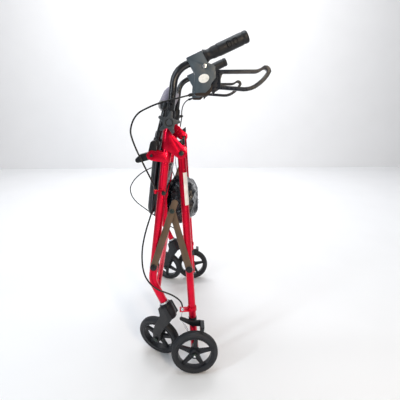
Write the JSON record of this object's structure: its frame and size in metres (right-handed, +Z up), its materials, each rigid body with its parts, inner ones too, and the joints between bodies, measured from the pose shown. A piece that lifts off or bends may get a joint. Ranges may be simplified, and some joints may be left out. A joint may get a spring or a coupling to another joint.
{
  "type": "rollator walker",
  "caption": "Folding rollator walker, stored folded and upright, with swivelling front wheels, brake levers on adjustable handles, a flip-up seat with a bag and a curved backrest.",
  "frame": {"origin": "centre of the bounding box, on the floor", "axes": "+Z up; -X towards the front wheels; +X towards the user, who walks behind; -Y the user's left side. The frame is folded, with its handles leaning back."},
  "size_m": [0.5052, 0.698, 1.0495],
  "materials": {
    "red_paint": "candy red metallic lacquer, glossy",
    "black_paint": "gloss black lacquer",
    "link_paint": "satin brown-black paint",
    "grey_plastic": "slate blue-grey moulded, fine grain",
    "black_plastic": "black moulded, satin",
    "grip_rubber": "black soft grip",
    "wheel_plastic": "dark grey moulded",
    "tyre": "dark grey, matt",
    "bright_steel": "zinc plated",
    "dark_steel": "black oxide",
    "seat_vinyl": "black vinyl, fine grain",
    "bag_vinyl": "shiny crumpled black vinyl",
    "backrest_fabric": "grey-purple woven cover",
    "cable_jacket": "black outer, smooth"
  },
  "bodies": {
    "front_frame": {"front_leg_left": "red_paint", "front_leg_right": "red_paint", "hinge_bracket_left": "red_paint", "hinge_bracket_right": "red_paint", "hinge_bolt_left": "dark_steel", "hinge_bolt_right": "dark_steel", "seat_bolt_left": "dark_steel", "seat_bolt_right": "dark_steel", "backrest_bracket_left": "red_paint", "backrest_bracket_right": "red_paint", "clamp_sleeve_left": "black_plastic", "clamp_sleeve_right": "black_plastic", "cable_upper_left": "cable_jacket", "cable_upper_right": "cable_jacket", "cable_lower_left": "cable_jacket", "cable_lower_right": "cable_jacket", "front_crossbar": "red_paint"},
    "rear_leg_left": {"rear_leg_left": "red_paint", "cable_stop_left": "red_paint", "rear_axle_left": "bright_steel"},
    "rear_leg_right": {"rear_leg_right": "red_paint", "cable_stop_right": "red_paint", "rear_axle_right": "bright_steel"},
    "rear_wheel_left": {"rear_rim_left": "wheel_plastic", "rear_tyre_left": "tyre"},
    "rear_wheel_right": {"rear_rim_right": "wheel_plastic", "rear_tyre_right": "tyre"},
    "brake_arm_left": {"brake_arm_left": "black_plastic"},
    "brake_arm_right": {"brake_arm_right": "black_plastic"},
    "caster_left": {"caster_fork_left": "black_plastic", "front_axle_left": "bright_steel"},
    "caster_right": {"caster_fork_right": "black_plastic", "front_axle_right": "bright_steel"},
    "front_wheel_left": {"front_rim_left": "wheel_plastic", "front_tyre_left": "tyre"},
    "front_wheel_right": {"front_rim_right": "wheel_plastic", "front_tyre_right": "tyre"},
    "front_link_left": {"front_link_left": "link_paint"},
    "front_link_right": {"front_link_right": "link_paint"},
    "rear_link_left": {"rear_link_left": "link_paint"},
    "rear_link_right": {"rear_link_right": "link_paint"},
    "handle_left": {"handle_tube_left": "black_paint", "brake_housing_left": "grey_plastic", "grip_left": "grip_rubber", "lever_pin_left": "dark_steel"},
    "handle_right": {"handle_tube_right": "black_paint", "brake_housing_right": "grey_plastic", "grip_right": "grip_rubber", "lever_pin_right": "dark_steel"},
    "brake_lever_left": {"brake_lever_left": "black_plastic"},
    "brake_lever_right": {"brake_lever_right": "black_plastic"},
    "knob_left": {"star_knob_left": "black_plastic"},
    "knob_right": {"star_knob_right": "black_plastic"},
    "seat": {"seat_board": "black_plastic", "seat_cushion": "seat_vinyl", "seat_bag": "bag_vinyl"},
    "backrest": {"backrest_tube": "black_paint", "backrest_pad": "backrest_fabric", "backrest_end_left": "black_plastic", "backrest_end_right": "black_plastic"}
  },
  "joints": [
    {"name": "fold_left", "type": "hinge", "parent": "front_frame", "child": "rear_leg_left", "pos_m": [-0.00113, -0.27973, 0.712], "axis": [0, -1, 0], "range_deg": [0, 46], "deforming": ["cable_lower_left"]},
    {"name": "fold_right", "type": "hinge", "parent": "front_frame", "child": "rear_leg_right", "pos_m": [-0.00113, 0.27227, 0.712], "axis": [0, -1, 0], "range_deg": [0, 46], "deforming": ["cable_lower_right"]},
    {"name": "seat_fold", "type": "hinge", "parent": "front_frame", "child": "seat", "pos_m": [-0.05519, -0.00373, 0.59346], "axis": [0, 1, 0], "range_deg": [0, 58.3]},
    {"name": "front_link_left", "type": "hinge", "parent": "front_frame", "child": "front_link_left", "pos_m": [-0.09143, -0.27973, 0.358], "axis": [0, 1, 0], "range_deg": [0, 45.2]},
    {"name": "rear_link_left", "type": "hinge", "parent": "rear_leg_left", "child": "rear_link_left", "pos_m": [0.01917, -0.27973, 0.3473], "axis": [0, -1, 0], "range_deg": [0, 38.2]},
    {"name": "front_link_right", "type": "hinge", "parent": "front_frame", "child": "front_link_right", "pos_m": [-0.09143, 0.27227, 0.358], "axis": [0, 1, 0], "range_deg": [0, 45.2]},
    {"name": "rear_link_right", "type": "hinge", "parent": "rear_leg_right", "child": "rear_link_right", "pos_m": [0.01917, 0.27227, 0.3473], "axis": [0, -1, 0], "range_deg": [0, 38.2]},
    {"name": "backrest_tilt", "type": "hinge", "parent": "front_frame", "child": "backrest", "pos_m": [-0.08763, -0.00373, 0.706], "axis": [0, -1, 0], "range_deg": [0, 75]},
    {"name": "handle_height_left", "type": "slide", "parent": "front_frame", "child": "handle_left", "axis": [0.1274, 0, 0.9919], "range_m": [-0.075, 0.05], "deforming": ["cable_upper_left"]},
    {"name": "knob_turn_left", "type": "hinge", "parent": "front_frame", "child": "knob_left", "pos_m": [-0.03465, -0.27973, 0.80053], "axis": [0, -1, 0], "continuous": true},
    {"name": "brake_squeeze_left", "type": "hinge", "parent": "handle_left", "child": "brake_lever_left", "pos_m": [0.06463, -0.27973, 0.95196], "axis": [0, -1, 0], "range_deg": [0, 10], "stiffness_Nm_per_rad": 4},
    {"name": "brake_press_left", "type": "hinge", "parent": "rear_leg_left", "child": "brake_arm_left", "pos_m": [0.02975, -0.27973, 0.15787], "axis": [0, 1, 0], "range_deg": [0, 4.2]},
    {"name": "handle_height_right", "type": "slide", "parent": "front_frame", "child": "handle_right", "axis": [0.1274, 0, 0.9919], "range_m": [-0.075, 0.05], "deforming": ["cable_upper_right"]},
    {"name": "knob_turn_right", "type": "hinge", "parent": "front_frame", "child": "knob_right", "pos_m": [-0.03465, 0.27227, 0.80053], "axis": [0, 1, 0], "continuous": true},
    {"name": "brake_squeeze_right", "type": "hinge", "parent": "handle_right", "child": "brake_lever_right", "pos_m": [0.06463, 0.27227, 0.95196], "axis": [0, -1, 0], "range_deg": [0, 10], "stiffness_Nm_per_rad": 4},
    {"name": "brake_press_right", "type": "hinge", "parent": "rear_leg_right", "child": "brake_arm_right", "pos_m": [0.02975, 0.27227, 0.15787], "axis": [0, 1, 0], "range_deg": [0, 4.2]},
    {"name": "caster_swivel_left", "type": "hinge", "parent": "front_frame", "child": "caster_left", "pos_m": [-0.06163, -0.27973, 0.22407], "axis": [-0.4147, 0, 0.91], "range_deg": [-50, 50]},
    {"name": "front_wheel_spin_left", "type": "hinge", "parent": "caster_left", "child": "front_wheel_left", "pos_m": [-0.08581, -0.23513, 0.07486], "axis": [-0.4272, -0.8829, -0.1947], "continuous": true},
    {"name": "rear_wheel_spin_left", "type": "hinge", "parent": "rear_leg_left", "child": "rear_wheel_left", "pos_m": [0.03437, -0.32773, 0.075], "axis": [0, 1, 0], "continuous": true},
    {"name": "caster_swivel_right", "type": "hinge", "parent": "front_frame", "child": "caster_right", "pos_m": [-0.06163, 0.27227, 0.22407], "axis": [-0.4147, 0, 0.91], "range_deg": [0, 100]},
    {"name": "front_wheel_spin_right", "type": "hinge", "parent": "caster_right", "child": "front_wheel_right", "pos_m": [-0.08908, 0.31091, 0.07502], "axis": [-0.3701, -0.9135, -0.1687], "continuous": true},
    {"name": "rear_wheel_spin_right", "type": "hinge", "parent": "rear_leg_right", "child": "rear_wheel_right", "pos_m": [0.03437, 0.32027, 0.075], "axis": [0, 1, 0], "continuous": true}
  ],
  "couplings": [
    {"joint": "fold_right", "follows": "fold_left", "ratio": 1},
    {"joint": "seat_fold", "follows": "fold_left", "ratio": 1.265},
    {"joint": "front_link_left", "follows": "fold_left", "ratio": 0.9817},
    {"joint": "rear_link_left", "follows": "fold_left", "ratio": 0.8298},
    {"joint": "front_link_right", "follows": "fold_left", "ratio": 0.9817},
    {"joint": "rear_link_right", "follows": "fold_left", "ratio": 0.8298},
    {"joint": "brake_press_left", "follows": "brake_squeeze_left", "ratio": 0.4},
    {"joint": "brake_press_right", "follows": "brake_squeeze_right", "ratio": 0.4}
  ]
}
